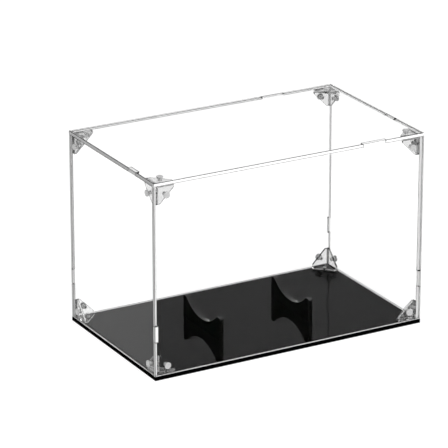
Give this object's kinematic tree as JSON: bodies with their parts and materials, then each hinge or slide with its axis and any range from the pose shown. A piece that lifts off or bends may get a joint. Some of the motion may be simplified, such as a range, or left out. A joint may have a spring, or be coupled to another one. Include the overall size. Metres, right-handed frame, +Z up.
{
  "type": "football display case",
  "caption": "Clear box cover with corner brackets and push rivets, lifting off a glossy black base with two ball cradles.",
  "frame": {"origin": "middle of the base's underside, on the surface the case stands on", "axes": "+X along the length, +Y from the front to the back, +Z up"},
  "size_m": [0.344, 0.204, 0.2295],
  "materials": {
    "clear_sheet": "clear, polished cast acrylic sheet",
    "clear_bracket": "clear moulded plastic",
    "clear_rivet": "slightly milky clear moulded plastic",
    "black_sheet": "high-gloss black acrylic sheet"
  },
  "bodies": {
    "base": {"base_plate": "black_sheet", "base_rivets": "clear_rivet", "base_rivet_pins": "clear_rivet"},
    "cover": {"top_panel": "clear_sheet", "front_panel": "clear_sheet", "back_panel": "clear_sheet", "left_panel": "clear_sheet", "right_panel": "clear_sheet", "lower_front_left_bracket": "clear_bracket", "lower_front_right_bracket": "clear_bracket", "lower_back_left_bracket": "clear_bracket", "lower_back_right_bracket": "clear_bracket", "upper_front_left_bracket": "clear_bracket", "upper_front_right_bracket": "clear_bracket", "upper_back_left_bracket": "clear_bracket", "upper_back_right_bracket": "clear_bracket", "front_rivets": "clear_rivet", "back_rivets": "clear_rivet", "left_rivets": "clear_rivet", "right_rivets": "clear_rivet", "top_rivets": "clear_rivet", "front_rivet_pins": "clear_rivet", "back_rivet_pins": "clear_rivet", "left_rivet_pins": "clear_rivet", "right_rivet_pins": "clear_rivet", "top_rivet_pins": "clear_rivet"},
    "left_cradle": {"left_cradle": "black_sheet"},
    "right_cradle": {"right_cradle": "black_sheet"}
  },
  "joints": [
    {"name": "cover_lift", "type": "slide", "parent": "base", "child": "cover", "axis": [0, 0, 1], "range_m": [0, 0.2]},
    {"name": "left_cradle_lift", "type": "slide", "parent": "base", "child": "left_cradle", "axis": [0, 0, 1], "range_m": [0, 0.03]},
    {"name": "right_cradle_lift", "type": "slide", "parent": "base", "child": "right_cradle", "axis": [0, 0, 1], "range_m": [0, 0.03]}
  ]
}
